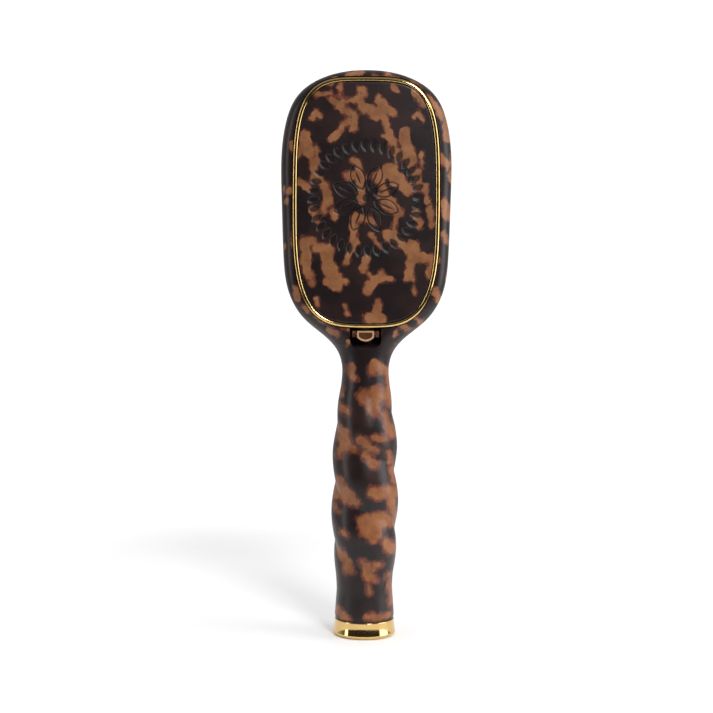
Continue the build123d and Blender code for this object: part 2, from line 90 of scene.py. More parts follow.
def edge_distance(x, z):
    """Distance from points to the head's outline, in mm."""
    q = np.stack([np.abs(x), np.broadcast_to(z, np.shape(x))], -1)
    a, b = OUT[:-1:2], OUT[2::2]
    n = min(len(a), len(b))
    a, b = a[:n], b[:n]
    d = b - a
    dd = (d * d).sum(1)
    best = np.full(q.shape[:-1], 1e9)
    for i in range(n):
        r = q - a[i]
        t = np.clip((r * d[i]).sum(-1) / dd[i], 0, 1)
        best = np.minimum(best, ((r - t[..., None] * d[i]) ** 2).sum(-1))
    return np.sqrt(best)


def table(t, z):
    a = np.array(t, float)
    return np.interp(z, a[:, 0], a[:, 1])


def twist_radius(th, z):
    crease = TWIST_Z - PITCH * th / np.pi + 2.25 * (1 - np.cos(th)) - 1.75 * np.sin(th)
    s = np.sin(np.pi * (z - crease) / PITCH)
    lobe = (np.sqrt(s * s + CREASE) - math.sqrt(CREASE)) / (math.sqrt(1 + CREASE) - math.sqrt(CREASE))
    return table(VALLEY, z) + table(LOBE, z) * lobe


def ring(z, count):
    """Closed section of the skin at height z."""
    if z <= NECK_Z:
        phi = 2 * np.pi * np.arange(count) / count
        r = twist_radius((phi - np.pi) % (2 * np.pi), z)
        return np.stack([r * np.cos(phi), r * np.sin(phi)], 1)
    w = float(half_width(z))
    t = min(max((150.0 - z) / 32.0, 0.0), 1.0)
    rad = EDGE_R + (NECK_R - EDGE_R) * t * t * (3 - 2 * t)
    u = np.linspace(0, 1, 90)
    x = w * (1 - u ** 2.2)
    d = edge_distance(x, z)
    h = HALF_T - rad + np.sqrt(np.maximum(rad ** 2 - np.maximum(rad - d, 0) ** 2, 0))
    wall = np.stack([np.full(8, w), np.linspace(0, h[0], 9)[:8]], 1)
    quarter = np.r_[wall, np.stack([x, h], 1)]
    step = np.hypot(*np.diff(quarter, axis=0).T)
    turn = np.abs(np.diff(np.unwrap(np.arctan2(*np.diff(quarter, axis=0).T[::-1]))))
    step[1:] += 2.5 * turn
    run = np.r_[0, np.cumsum(step)]
    per = count // 4
    s = np.linspace(0, run[-1], per + 1)
    quad = np.stack([np.interp(s, run, quarter[:, 0]), np.interp(s, run, quarter[:, 1])], 1)
    half = np.r_[quad[:-1], (quad[::-1] * (-1, 1))[:-1]]
    return np.r_[half, -half]


def oval(a, b, zc, n_up, n_low=None, grow=0.0, top=0.0, count=200):
    t = 2 * np.pi * (np.arange(count) + 0.5) / count
    n = np.where(np.sin(t) > 0, n_up, n_up if n_low is None else n_low)
    bb = np.where(np.sin(t) > 0, b + top, b)
    x = a * np.sign(np.cos(t)) * np.abs(np.cos(t)) ** (2 / n)
    z = bb * np.sign(np.sin(t)) * np.abs(np.sin(t)) ** (2 / n)
    gx = np.sign(x) * np.abs(x / a) ** (n - 1) / a
    gz = np.sign(z) * np.abs(z / bb) ** (n - 1) / bb
    g = np.hypot(gx, gz)
    return np.stack([x + grow * gx / g, zc + z + grow * gz / g], 1)


def lid_oval(grow=0.0, top=0.0, count=200):
    return oval(LID_A, LID_B, LID_Z, LID_UP, LID_LOW, grow, top, count)


# ------------------------------------------------------------------ mesh helpers
def mesh_object(name, verts, faces, smooth=True, angle=None):
    me = bpy.data.meshes.new(name)
    me.from_pydata([tuple(v) for v in np.asarray(verts, float) * MM], [],
                   [tuple(int(i) for i in f) for f in faces])
    me.validate()
    ob = bpy.data.objects.new(name, me)
    scene.collection.objects.link(ob)
    if smooth:
        me.polygons.foreach_set("use_smooth", [True] * len(me.polygons))
    if angle is not None:
        sharp_by_angle(ob, angle)
    return ob


def sharp_by_angle(ob, degrees):
    ob.data.polygons.foreach_set("use_smooth", [True] * len(ob.data.polygons))
    ob.data.set_sharp_from_angle(angle=math.radians(degrees))


def tube_faces(rings, count, flip=False, close_ends=True):
    faces = []
    for j in range(rings - 1):
        a, b = j * count, (j + 1) * count
        for i in range(count):
            k = (i + 1) % count
            f = (a + i, a + k, b + k, b + i)
            faces.append(f[::-1] if flip else f)
    if close_ends:
        lo = tuple(range(count))[::-1]
        hi = tuple(range((rings - 1) * count, rings * count))
        faces += [lo[::-1], hi[::-1]] if flip else [lo, hi]
    return faces


def prism(points, y0, y1):
    """Solid prism of an (x, z) outline between two y planes, for cutting."""
    n = len(points)
    v = [(x, y0, z) for x, z in points] + [(x, y1, z) for x, z in points]
    return mesh_object("cut", v, tube_faces(2, n, flip=True), smooth=False)


def prism_x(points, x0, x1):
    n = len(points)
    v = [(x0, y, z) for y, z in points] + [(x1, y, z) for y, z in points]
    return mesh_object("cut", v, tube_faces(2, n), smooth=False)


def outward(ob):
    import bmesh
    bm = bmesh.new()
    bm.from_mesh(ob.data)
    bmesh.ops.recalc_face_normals(bm, faces=bm.faces)
    bm.to_mesh(ob.data)
    bm.free()


def carve(ob, cutters, operation="DIFFERENCE"):
    for c in cutters:
        outward(c)
        m = ob.modifiers.new("b", "BOOLEAN")
        m.operation = operation
        m.solver = "MANIFOLD"
        m.object = c
        bpy.context.view_layer.objects.active = ob
        bpy.ops.object.modifier_apply(modifier=m.name)
        bpy.data.objects.remove(c)


# ------------------------------------------------------------------ body skin
COUNT = 176
SEAT_GAP, SEAT_TOP, SEAT_Y = 0.35, 0.3, -8.0     # the lid's seat: gap round the lid, more at its top, ledge
BAY_Y, BAY_Z = -0.5, 227.6                       # hinge bay behind the lid's top: floor and lower edge
NOTCH_X, NOTCH_Y, NOTCH_Z0, NOTCH_Z1 = 6.6, -2.6, 124.6, 132.3
LUG_X0, LUG_X1 = 4.2, 5.6                        # lugs that carry the latch pin
SWING_X0, SWING_X1, SWING_Y, SWING_Z0, SWING_Z1 = 23.0, 24.95, -8.6, 229.4, 231.25
OPEN_Y = 14.0                                    # how far the cutting shapes reach outside the head
levels = [Z0, 7.5, 7.65, 7.85, 8.2, 8.7]
levels += list(np.arange(9.3, 112.9, 0.65)) + [NECK_Z]
levels += list(np.arange(113.7, 150, 0.7)) + list(np.arange(150, 214, 1.0))
levels += list(214 + 25.96 * np.sin(np.linspace(0, np.pi / 2, 52)))
rings = []
for z in levels:
    r = ring(z, COUNT)
    if z < 9:
        r = r * (1 - 0.012 * ((9 - z) / 1.6) ** 3)
    rings.append(np.c_[r, np.full(COUNT, z)])
body = mesh_object("body_skin", np.concatenate(rings), tube_faces(len(rings), COUNT))
outward(body)


def box_pts(x0, x1, z0, z1):
    return [(x0, z0), (x1, z0), (x1, z1), (x0, z1)]


seat = lid_oval(SEAT_GAP, SEAT_TOP)
bay_side = seat[seat[:, 0] > 0]
bay_w = float(np.interp(BAY_Z, np.sort(bay_side[:, 1]), bay_side[np.argsort(bay_side[:, 1]), 0]))
bay = [(bay_w, BAY_Z)] + [tuple(p) for p in seat if p[1] > BAY_Z + 0.1] + [(-bay_w, BAY_Z)]
notch = prism_x([(-13, 122.4), (-10, 123.5), (-7.6, NOTCH_Z0), (NOTCH_Y, NOTCH_Z0), (NOTCH_Y, NOTCH_Z1),
                 (-13, NOTCH_Z1)], -NOTCH_X, NOTCH_X)
# seen from the front, the notch has rounded lower corners
arc = [(-NOTCH_X, 133.0), (-NOTCH_X, 127.0)]
arc += [(-4.2 - 2.4 * math.cos(a), 125.6 + 1.4 - 3.4 * math.sin(a)) for a in np.linspace(0.1, math.pi / 2, 10)]
arc += [(-x, z) for x, z in arc[::-1]]
carve(notch, [prism(arc, -14, 0)], "INTERSECT")
carve(body, [
    prism(seat, -OPEN_Y, SEAT_Y),
    prism(oval(BOX_A, BOX_B, BOX_Z, BOX_N), SEAT_Y - 0.5, 1.5),
    prism(bay, SEAT_Y - 0.5, BAY_Y),
    # room for the hinge bracket's plate
    prism(box_pts(-18, 18, 222.6, 227.8), SEAT_Y - 0.5, BAY_Y),
    # swing reliefs for the shoulders of the lid's ring
    *[prism(box_pts(x0, x1, SWING_Z0, SWING_Z1), -OPEN_Y, SWING_Y)
      for x0, x1 in ((-SWING_X1, -SWING_X0), (SWING_X0, SWING_X1))],
    prism(oval(CUP_A, CUP_B, CUP_Z, CUP_N), 4.0, OPEN_Y),
    notch,
    # slot for the lid's catch
    prism(box_pts(-3.2, 3.2, 130.9, 135.6), SEAT_Y - 0.3, -5.2),
])
sharp_by_angle(body, 32)
for x0, x1 in ((-LUG_X1, -LUG_X0), (LUG_X0, LUG_X1)):
    carve(body, [prism(box_pts(x0, x1, 127.9, 130.5), -8.6, NOTCH_Y + 0.2)], "UNION")
sharp_by_angle(body, 32)

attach(body, "brush")
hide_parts("brush_body")


# ------------------------------------------------------------------ lid panel
ORNAMENT_Z = 186.0
PANEL_Y, PANEL_BOW, ENGRAVE = -11.0, 1200.0, 0.45      # front face: y = PANEL_Y + x^2 / PANEL_BOW
PANEL_INSET = -1.92                                    # panel's edge, inside the lid's outline
UNDER_Y, LIP_Y = -10.4, -9.5                           # underside, and the foot of the side wall
EDGE_START = 0.985                                     # share of the outline where the rounded edge begins


def arc_circle(length, width):
    """Centre and radius of the circle through a leaf's root, its side 0.55 of the way up, and its tip."""
    px, py = width / 2, length * 0.55
    # the centre is level with the leaf's middle
    cy = length / 2
    cx = (px * px + py * py - 2 * py * cy) / (2 * px)
    return cx, cy, math.hypot(cx, cy)


def leaves(x, z, start, length, width, count, first=0.0, lean=0.0):
    """Depth inside a wreath of leaves round the origin, in mm, positive inside."""
    cx, cy, r = arc_circle(length, width)
    best = np.full(np.shape(x), -9.0)
    for k in range(count):
        a = math.radians(first + 360 * k / count)
        dx, dz = x - start * math.cos(a), z - start * math.sin(a)
        b = a + math.radians(lean)
        along = dx * math.cos(b) + dz * math.sin(b)
        across = -dx * math.sin(b) + dz * math.cos(b)
        d = r - np.maximum(np.hypot(across - cx, along - cy), np.hypot(across + cx, along - cy))
        best = np.maximum(best, d)
    return best


def engraving(x, z):
    """0 on the plain panel, 1 on the floor of the ornament."""
    zz = z - ORNAMENT_Z
    wreath = leaves(x, zz, 19.4, 5.4, 3.0, 36, 0, 14)
    flower = leaves(x, zz, 3.4, 11.5, 6.4, 8, 22.5)
    core = leaves(x, zz, 4.7, 9.2, 4.8, 8, 22.5)
    vein = leaves(x, zz, 5.8, 6.4, 1.0, 8, 22.5)
    eye = 1.9 - np.hypot(x, zz)
    depth = np.maximum.reduce([wreath, np.minimum(flower, -core), vein, eye])
    t = np.clip(depth / 0.4 + 0.2, 0, 1)
    return t * t * (3 - 2 * t)


def even(loop, count):
    """The same closed outline with its points spaced evenly along it."""
    closed = np.r_[loop, loop[:1]]
    run = np.r_[0, np.cumsum(np.hypot(*np.diff(closed, axis=0).T))]
    at = run[-1] * np.arange(count) / count
    return np.stack([np.interp(at, run, closed[:, 0]), np.interp(at, run, closed[:, 1])], 1)


P_COUNT, P_RINGS = 520, 150
edge = even(lid_oval(PANEL_INSET, count=4000), P_COUNT)
inset = np.r_[np.linspace(0, 1, P_RINGS - 9)[:-1] * EDGE_START,
              EDGE_START + (1 - EDGE_START) * np.sin(np.linspace(0, np.pi / 2, 10))]
verts = []
for s in inset:
    p = np.stack([edge[:, 0] * s, LID_Z + (edge[:, 1] - LID_Z) * s], 1)
    y = PANEL_Y + p[:, 0] ** 2 / PANEL_BOW
    y = y + ENGRAVE * engraving(p[:, 0], p[:, 1])
    rim = np.clip((s - EDGE_START) / (1 - EDGE_START), 0, 1)
    y = y + 0.45 * (1 - math.sqrt(max(0.0, 1 - rim ** 2)))
    verts.append(np.stack([p[:, 0], y, p[:, 1]], 1))
# side wall, then an underside hollowed to clear the hinge knuckles
lip = verts[-1][:, 1] + 0.06
verts.append(np.stack([edge[:, 0], lip, edge[:, 1]], 1))
verts.append(np.stack([edge[:, 0], np.full(P_COUNT, LIP_Y), edge[:, 1]], 1))
for k in (0.95, 0.7, 0.45, 0.2):
    x, z = edge[:, 0] * k, LID_Z + (edge[:, 1] - LID_Z) * k
    verts.append(np.stack([x, x ** 2 / PANEL_BOW + UNDER_Y, z], 1))
# the first ring has shrunk to a point, so a fan takes its place, as one does under the panel
rings_made = np.concatenate(verts[1:])
faces = tube_faces(len(verts) - 1, P_COUNT, close_ends=False)
top, under = len(rings_made), len(rings_made) + 1
depth_mid = ENGRAVE * float(engraving(np.array([0.0]), np.array([LID_Z]))[0])
flat = np.r_[rings_made, [[0, PANEL_Y + depth_mid, LID_Z], [0, UNDER_Y, LID_Z]]]
last = top - P_COUNT
for i in range(P_COUNT):
    j = (i + 1) % P_COUNT
    faces += [(i, j, top), (last + j, last + i, under)]
panel = mesh_object("lid_cover", flat, faces)
outward(panel)
sharp_by_angle(panel, 50)
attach(panel, "lid")
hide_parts("lid_panel")


# ------------------------------------------------------------------ cushion
DOME_Y0, DOME_H, DOME_P = 8.4, 4.6, 2.4      # cushion: edge height, rise and fullness
PIN_STEP, ROW_STEP, PIN_REACH = 5.4, 0.87, 0.86
PIN_LEN, TIP_R = 15.5, 0.95


def share(x, z):
    """How far out a point lies on the cushion: 0 at its centre, 1 at its edge."""
    return (np.abs(x / PAD_A) ** CUP_N + np.abs((z - CUP_Z) / PAD_B) ** CUP_N) ** (1 / CUP_N)


def dome_y(s):
    return DOME_Y0 + DOME_H * (1 - np.minimum(s, 1.0) ** DOME_P)


spots = []
for j in range(-9, 10):
    for i in range(-8, 9):
        x, z = i * PIN_STEP + (0.5 * PIN_STEP if j % 2 else 0.0), CUP_Z + j * PIN_STEP * ROW_STEP
        if share(x, z) <= PIN_REACH:
            spots.append((x, z))
spots = np.array(spots)

C_COUNT = 260
pad_edge = oval(PAD_A, PAD_B, CUP_Z, CUP_N, count=C_COUNT)
verts = []
for s in np.linspace(0.012, 0.975, 90):
    x, z = pad_edge[:, 0] * s, CUP_Z + (pad_edge[:, 1] - CUP_Z) * s
    y = dome_y(np.full(C_COUNT, s))
    near = np.min((x[:, None] - spots[:, 0]) ** 2 + (z[:, None] - spots[:, 1]) ** 2, 1)
    # the rubber dips round each pin and grips it with a small collar
    y = y - 0.16 * np.exp(-near / 2.2) + 0.22 * np.exp(-near / 0.55)
    verts.append(np.stack([x, y, z], 1))
for s, y in ((0.985, 8.55), (0.995, 8.2), (1.0, 7.6), (1.0, 5.5)):
    verts.append(np.stack([pad_edge[:, 0] * s, np.full(C_COUNT, y), CUP_Z + (pad_edge[:, 1] - CUP_Z) * s], 1))
pad = mesh_object("rubber_cushion", np.concatenate(verts), tube_faces(len(verts), C_COUNT))
outward(pad)
sharp_by_angle(pad, 60)
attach(pad, "brush")
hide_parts("pad_cushion")

# ------------------------------------------------------------------ pins
SEG = 14


def lathe_field(name, profile):
    """One mesh of turned pins along +Y, one at each spot, standing on the cushion."""
    a = 2 * np.pi * np.arange(SEG) / SEG
    unit = np.concatenate([np.stack([r * np.cos(a), np.full(SEG, y), r * np.sin(a)], 1) for r, y in profile])
    faces1 = tube_faces(len(profile), SEG)
    v, f = [], []
    for k, (x, z) in enumerate(spots):
        base = dome_y(share(x, z))
        v.append(unit + (x, base, z))
        off = k * len(unit)
        f += [tuple(i + off for i in q) for q in faces1]
    ob = mesh_object(name, np.concatenate(v), f)
    outward(ob)
    sharp_by_angle(ob, 50)
    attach(ob, "brush")
    return ob


shank = [(0.95, -0.3), (0.9, 0.15), (0.74, 0.7), (0.64, 1.6), (0.57, 4.0), (0.53, 9.0), (0.5, 14.9)]
pins = lathe_field("nylon_pins", shank)
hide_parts("bristle_pins")
ball = [(0.35, 14.62)]
ball += [(TIP_R * math.cos(t), PIN_LEN + TIP_R * math.sin(t)) for t in np.linspace(-0.95, 1.45, 9)]
tips = lathe_field("ball_tips", ball)
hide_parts("pin_tips")

# ------------------------------------------------------------------ end cap
# (radius, height) of a bell: a rounded foot, a hollow flank, a rounded lip, then the inside
CAP_SEG, CAP_TOP_R, CAP_FOOT_R, FOOT_R, FLANK_H, LIP_R = 128, 12.72, 13.4, 1.4, 5.2, 0.32
cap_side = [(12.0 + FOOT_R * math.sin(a), FOOT_R * (1 - math.cos(a))) for a in np.linspace(0, math.pi / 2, 9)]
cap_side += [(CAP_TOP_R + (CAP_FOOT_R - CAP_TOP_R) * (1 - t) ** 1.9, FOOT_R + FLANK_H * t)
             for t in np.linspace(0, 1, 22)[1:]]
cap_side += [(12.4 + LIP_R * math.cos(a), 6.68 + LIP_R * math.sin(a)) for a in np.linspace(0.2, math.pi / 2, 6)]
cap_inside = [(11.5, 7.0), (11.5, 1.5), (3.2, 1.5), (3.2, 5.4), (1.9, 5.4), (1.9, 1.8)]
turn = 2 * np.pi * np.arange(CAP_SEG) / CAP_SEG
cap_verts = np.concatenate([np.stack([r * np.cos(turn), r * np.sin(turn), np.full(CAP_SEG, z)], 1)
                            for r, z in cap_side + cap_inside])
cap = mesh_object("turned_cap", cap_verts, tube_faces(len(cap_side + cap_inside), CAP_SEG))
outward(cap)
sharp_by_angle(cap, 40)
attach(cap, "brush")
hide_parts("end_cap")

# ------------------------------------------------------------------ tortoiseshell pattern
# Amber patches on the side that faces the camera. Each is five numbers in mm: the two ends (x, z, x, z) of its
# middle line and the radius round that line. They were read over a 5 mm grid, so they are good to about
# a millimetre. The two short ones on the latch lugs (x -5.1 and 4.7, z 129.2) are only a tint, not a reading.
TOP_RIM = """
-7.5 237 -2.5 238.3 1.3  -12.8 235.8 -15.5 233.2 1.0  3 236.5 6 236.5 0.6  9 237.8 12.3 235.8 1.1
19 233.7 22 231.4 1.0  25.6 228.4 29.8 223.6 1.5  30.4 221.8 34 217.7 1.6  32.5 217 34 210.5 1.3
31 203.4 34.5 198.6 1.4
"""
LID_UPPER_LEFT = """
-10.9 232.5 -11.3 228 1.2  -14.5 227.3 -11.5 224.5 1.4  -11.3 224 -7.3 221.5 1.6  -5 220.5 -5.5 215 1.4
-7.5 218 -12 213.7 1.0  -11.5 213.2 -15 210.3 1.4  -10 226 -3.5 226.5 1.0  -21 229 -15 229.5 0.8
-22.5 219 -21 222 1.1  -21 222 -19.3 219.5 1.0  -26 211.5 -24 205 2.5  -25.5 204.5 -22.5 203.8 1.2
-21 208 -20.3 200 0.8  -30.5 208 -28.5 204 1.6  -22.5 201 -21.5 194.5 1.3  -22 195 -17.5 192 1.6
-17.5 192 -15.5 184 1.8  -28 192.5 -24 190 1.2  -33 188.5 -30.5 190 0.9
"""
LID_UPPER_CENTRE = """
-2.8 231.5 -0.5 229 1.5  -2.5 228.5 -2.2 223.5 1.3  -1 223.3 6 221.5 1.9  2 221 4 219.8 1.3
4.7 228 6 224.5 1.5  6.5 225.5 11 221 1.8  7 221 9 215.5 1.4  9.5 214.5 11.5 208.5 1.5
7.5 211.5 9 210.8 0.8  -5.5 202.5 -3 199.5 1.4  -3 200 -2.8 196 1.2  -8 195.5 -1 194 1.8
-3 194 -1.5 185 1.6
"""
LID_UPPER_RIGHT = """
19.7 219.8 21.5 221.8 1.0  21.5 221.8 23.5 218 1.0  10.8 232 13.8 229.8 0.9  19.5 230 24 224.5 1.0
15.5 213 17 207 2.2  17 207 18.8 201 2.4  11.5 206 14 203.5 1.7  12.7 203 12.5 198 0.9
4.5 195 9 196.5 2.2  9 197 14 194 2.8  12 194 17.5 189.5 2.4  6 193 8 188 1.6  6.5 186.5 11 184 2.0
21 196.5 22 191 1.7  24.5 191 25.5 184 1.3  23 205 23 199 0.7
"""
LID_LOWER = """
8 184 13.5 180 2.2  12.2 178.5 11.7 172 1.0  9.5 171 14.5 167 2.0  15.5 166.5 17 164 1.2
19.5 166 20.5 161 2.6  22 161.5 29 160 2.0  18.5 159 17.5 152.5 1.9  20 152 20.5 147 0.8
28 159 27 153.5 1.6  26.5 182 27.5 175 1.3  21 180 22.5 174.5 1.5  -4.5 178.5 -1 177.5 1.6
-5 178 -5.5 172 1.3  -5.5 171.5 -5 167.5 1.4  -5.5 166 -8.5 159 1.1  0.5 178 3 176.5 1.3
2.5 170.5 6 165 0.8  0 160.5 -0.8 156 1.5  0 156 3 152 0.7  2 150 6 153 2.2  6 153 10.5 152.5 1.3
1 147.5 2 150 1.8  6 155 7 153 1.0  -26 168 -22 168 1.8  -25.5 167 -24.5 161 2.2  -26 160 -24 154 1.7
-23.5 153 -22.5 150 1.1  -21 165 -15 164 2.0  -16.5 163 -15.5 157 2.4  -15.5 157 -12.5 152.5 3.0
-16 151 -11.5 149 2.0  -12 152 -8.5 151.3 1.0  -14 180.5 -12.5 178 1.4  -17 184 -17.5 180 1.0
-22.5 181 -20.5 176.5 1.3  5 142 4.5 137 1.6  1 136 6.5 135.5 1.9  -9 141 -7.5 137.5 0.7
-20.5 144 -20 141 1.0
"""
RIM_SIDES = """
33 184 34 179 2.0  32.3 171.5 34 168 1.5  28.8 147.5 31 144 1.5  -30.5 171 -30 166 0.8
-29.5 148.5 -28.5 144 1.2  -26 140.5 -24 138.5 1.0  -20.5 136.5 -17.5 134 1.0  -15 130.5 -12.5 129.5 1.6
-10.5 131.8 -7.5 131.2 0.9  -5.1 129.2 -4.7 129.2 1.1  4.7 129.2 5.1 129.2 1.1
15 132.5 18.5 131.5 1.2  12.5 129 13 131 1.0  20 136.8 23 134.5 1.2
"""
HANDLE_UPPER = """
-6.2 114.5 -5.3 111 1.6  4 116.5 3 113.5 1.8  5 115.5 9 113.5 1.8  -10 107 -10.5 103.5 0.6
0 103 4 103 3.2  4 105.5 10 104 2.2  2.5 100 3.5 97.5 2.4  9.9 112 10.2 99.5 1.3  -10.5 98 -8 96.5 1.5
8 95 10 90.5 1.5  10 90 11.5 87 1.9  -11 89.5 -9 87 1.5  -9.5 87 -8 82 2.5  -8 82 -4.5 80.8 1.2
-11.5 80 -11 77.5 0.9  -1.5 85 0.5 82.5 1.7  2 81.5 5 80.5 1.1  4 86 8 85 1.2  0 79 2 77 1.6
2 77 4 74.5 1.6  10 79 11.2 75 0.8  11.5 72 12.5 66 1.0  -11 67 -9.5 64 2.0  -9.5 64 -7 61 2.5
3 63 6 61.5 2.0  7 63.5 12.5 62 2.2
"""
HANDLE_LOWER = """
-12 62 -6 60 2.6  -6 59.5 -3 58.5 1.3  5 63 12.5 62 2.3  11 60 12 54 1.6  12.5 53 12.7 48 1.0
-12.7 55.5 -11.5 54 1.1  0 50 8 50.5 3.2  0.5 47 5 46.5 3.0  3 44 3 43 1.5  9.5 50 12 48.5 1.6
8.5 42 11 39.5 1.2  10.5 38.5 12.3 38 2.2  -10.5 36.5 -8 33 1.9  -8 33 -7 29.5 1.9
-6.5 29.3 -5.3 29.3 1.4  -1 33 1 30.5 1.3  1 30.5 1.5 26 1.8  2 27 4.3 25 1.3  1.5 25 2.3 20.5 1.0
4.5 32 7 32 1.0  3 30 4 30 0.8  10.3 27 11.3 14 0.9  -11.5 11.5 -9.5 10 1.8  -9 9 -6.5 8.5 1.0
1 10 5 9.5 1.2  5 9 11 10 1.0  -10 46 -8 44.5 0.8
"""
ALL_PATCHES = (TOP_RIM, LID_UPPER_LEFT, LID_UPPER_CENTRE, LID_UPPER_RIGHT, LID_LOWER, RIM_SIDES,
               HANDLE_UPPER, HANDLE_LOWER)
patches = np.array(" ".join(ALL_PATCHES).split(), float).reshape(-1, 5)


def amber_depth(x, z):
    """How far inside the nearest amber patch a point is, in mm; negative in the dark ground."""
    best = np.full(x.shape, -6.0)
    for x0, z0, x1, z1, r in patches:
        dx, dz = x1 - x0, z1 - z0
        t = np.clip(((x - x0) * dx + (z - z0) * dz) / (dx * dx + dz * dz), 0, 1)
        best = np.maximum(best, r - np.hypot(x - x0 - t * dx, z - z0 - t * dz))
    return best


CELL = 2.3                                # size of the coarser facets of a patch's edge
DIRECT, COARSE, FINE = 0.38, 0.37, 0.25   # shares of the smooth, coarse and fine readings


def facet(x, z, size):
    """The nearest point of a jittered grid: looking patches up there gives them angular edges."""
    best = np.full(x.shape, 1e9)
    fx, fz = x.copy(), z.copy()
    for di in (-1, 0, 1):
        for dj in (-1, 0, 1):
            i, j = np.floor(x / size) + di, np.floor(z / size) + dj
            jx = np.modf(np.abs(np.sin(i * 127.1 + j * 311.7) * 43758.5453))[0]
            jz = np.modf(np.abs(np.sin(i * 269.5 + j * 183.3) * 24634.6345))[0]
            cx, cz = (i + jx) * size, (j + jz) * size
            d = np.hypot(x - cx, z - cz)
            near = d < best
            best = np.where(near, d, best)
            fx, fz = np.where(near, cx, fx), np.where(near, cz, fz)
    return fx, fz


def points_mm(ob):
    co = np.empty(len(ob.data.vertices) * 3, np.float32)
    ob.data.vertices.foreach_get("co", co)
    return co.reshape(-1, 3).astype(float) / MM


def paint(ob, all_front=False):
    """Point attributes for the tortoiseshell: patch depth, front half, and where the free pattern keeps out."""
    co = points_mm(ob)
    a = ob.data.attributes.new("amber", "FLOAT", "POINT")
    x, z = co[:, 0], co[:, 2]
    depth = (DIRECT * amber_depth(x, z) + COARSE * amber_depth(*facet(x, z, CELL))
             + FINE * amber_depth(*facet(x, z, CELL / 2)))
    a.data.foreach_set("value", depth.astype(np.float32))
    f = np.ones(len(co)) if all_front else np.clip(0.5 - co[:, 1] / 5.0, 0, 1)
    # the lid and the grip keep to the patches; the rim round the lid, which is too narrow to read well, doesn't
    rim = np.hypot(np.maximum(np.abs(x) - 20, 0) / 12, np.maximum(np.abs(z - 184) - 36, 0) / 18)
    calm = ob.data.attributes.new("calm", "FLOAT", "POINT")
    quiet = 9.0 - 8.4 * np.clip((rim - 0.9) / 0.3, 0, 1) * (z > 118) * (not all_front)
    calm.data.foreach_set("value", quiet.astype(np.float32))
    b = ob.data.attributes.new("front", "FLOAT", "POINT")
    b.data.foreach_set("value", f.astype(np.float32))


paint(body)
paint(panel, True)

co = points_mm(panel)
# cut marks the engraving's floor on the front face, where painted shade darkens the colour
cut = panel.data.attributes.new("cut", "FLOAT", "POINT")
cut.data.foreach_set("value", (engraving(co[:, 0], co[:, 2]) * (co[:, 1] < -9.95)).astype(np.float32))


# ------------------------------------------------------------------ materials
class Nodes:
    def __init__(self, name):
        self.mat = bpy.data.materials.new(name)
        self.mat.use_nodes = True
        self.t = self.mat.node_tree
        self.t.nodes.clear()
        self.bsdf = self.t.nodes.new("ShaderNodeBsdfPrincipled")
        out = self.t.nodes.new("ShaderNodeOutputMaterial")
        self.t.links.new(self.bsdf.outputs[0], out.inputs[0])
        self.coord = self.t.nodes.new("ShaderNodeTexCoord").outputs["Object"]

    def put(self, socket, value):
        if hasattr(value, "is_linked") or hasattr(value, "links"):
            self.t.links.new(value, socket)
        else:
            socket.default_value = value

    def math(self, op, a, b=0.0, c=0.0, clamp=False):
        n = self.t.nodes.new("ShaderNodeMath")
        n.operation = op
        n.use_clamp = clamp
        for s, v in zip(n.inputs, (a, b, c)):
            self.put(s, v)
        return n.outputs[0]

    def noise(self, scale, detail=2.0, rough=0.5, distortion=0.0, vector=None, colour=False):
        n = self.t.nodes.new("ShaderNodeTexNoise")
        self.put(n.inputs["Vector"], vector or self.coord)
        n.inputs["Scale"].default_value = scale
        n.inputs["Detail"].default_value = detail
        n.inputs["Roughness"].default_value = rough
        n.inputs["Distortion"].default_value = distortion
        return n.outputs["Color"] if colour else n.outputs[0]

    def scaled(self, x, y, z):
        n = self.t.nodes.new("ShaderNodeMapping")
        self.put(n.inputs["Vector"], self.coord)
        n.inputs["Scale"].default_value = (x, y, z)
        return n.outputs[0]

    def attribute(self, name):
        n = self.t.nodes.new("ShaderNodeAttribute")
        n.attribute_name = name
        return n.outputs["Fac"]

    def range(self, v, a, b, c=0.0, d=1.0, smooth=True):
        n = self.t.nodes.new("ShaderNodeMapRange")
        n.interpolation_type = "SMOOTHSTEP" if smooth else "LINEAR"
        for s, x in zip(("Value", "From Min", "From Max", "To Min", "To Max"), (v, a, b, c, d)):
            self.put(n.inputs[s], x)
        return n.outputs[0]

    def mix(self, fac, a, b):
        n = self.t.nodes.new("ShaderNodeMix")
        n.data_type = "RGBA"
        self.put(n.inputs[0], fac)
        for s, v in ((n.inputs[6], a), (n.inputs[7], b)):
            self.put(s, tuple(v) + (1.0,) if isinstance(v, (tuple, list)) else v)
        return n.outputs[2]

    def blend(self, fac, a, b):
        n = self.t.nodes.new("ShaderNodeMix")
        n.data_type = "FLOAT"
        for s, v in zip((n.inputs[0], n.inputs[2], n.inputs[3]), (fac, a, b)):
            self.put(s, v)
        return n.outputs[0]

    def bump(self, height, distance, strength=1.0):
        n = self.t.nodes.new("ShaderNodeBump")
        n.inputs["Strength"].default_value = strength
        n.inputs["Distance"].default_value = distance
        self.put(n.inputs["Height"], height)
        self.t.links.new(n.outputs[0], self.bsdf.inputs["Normal"])

    def set(self, **values):
        for k, v in values.items():
            s = self.bsdf.inputs[k.replace("_", " ")]
            colour = isinstance(v, (tuple, list)) and len(v) == 3 and k != "Normal"
            self.put(s, tuple(v) + (1.0,) if colour else v)
        return self


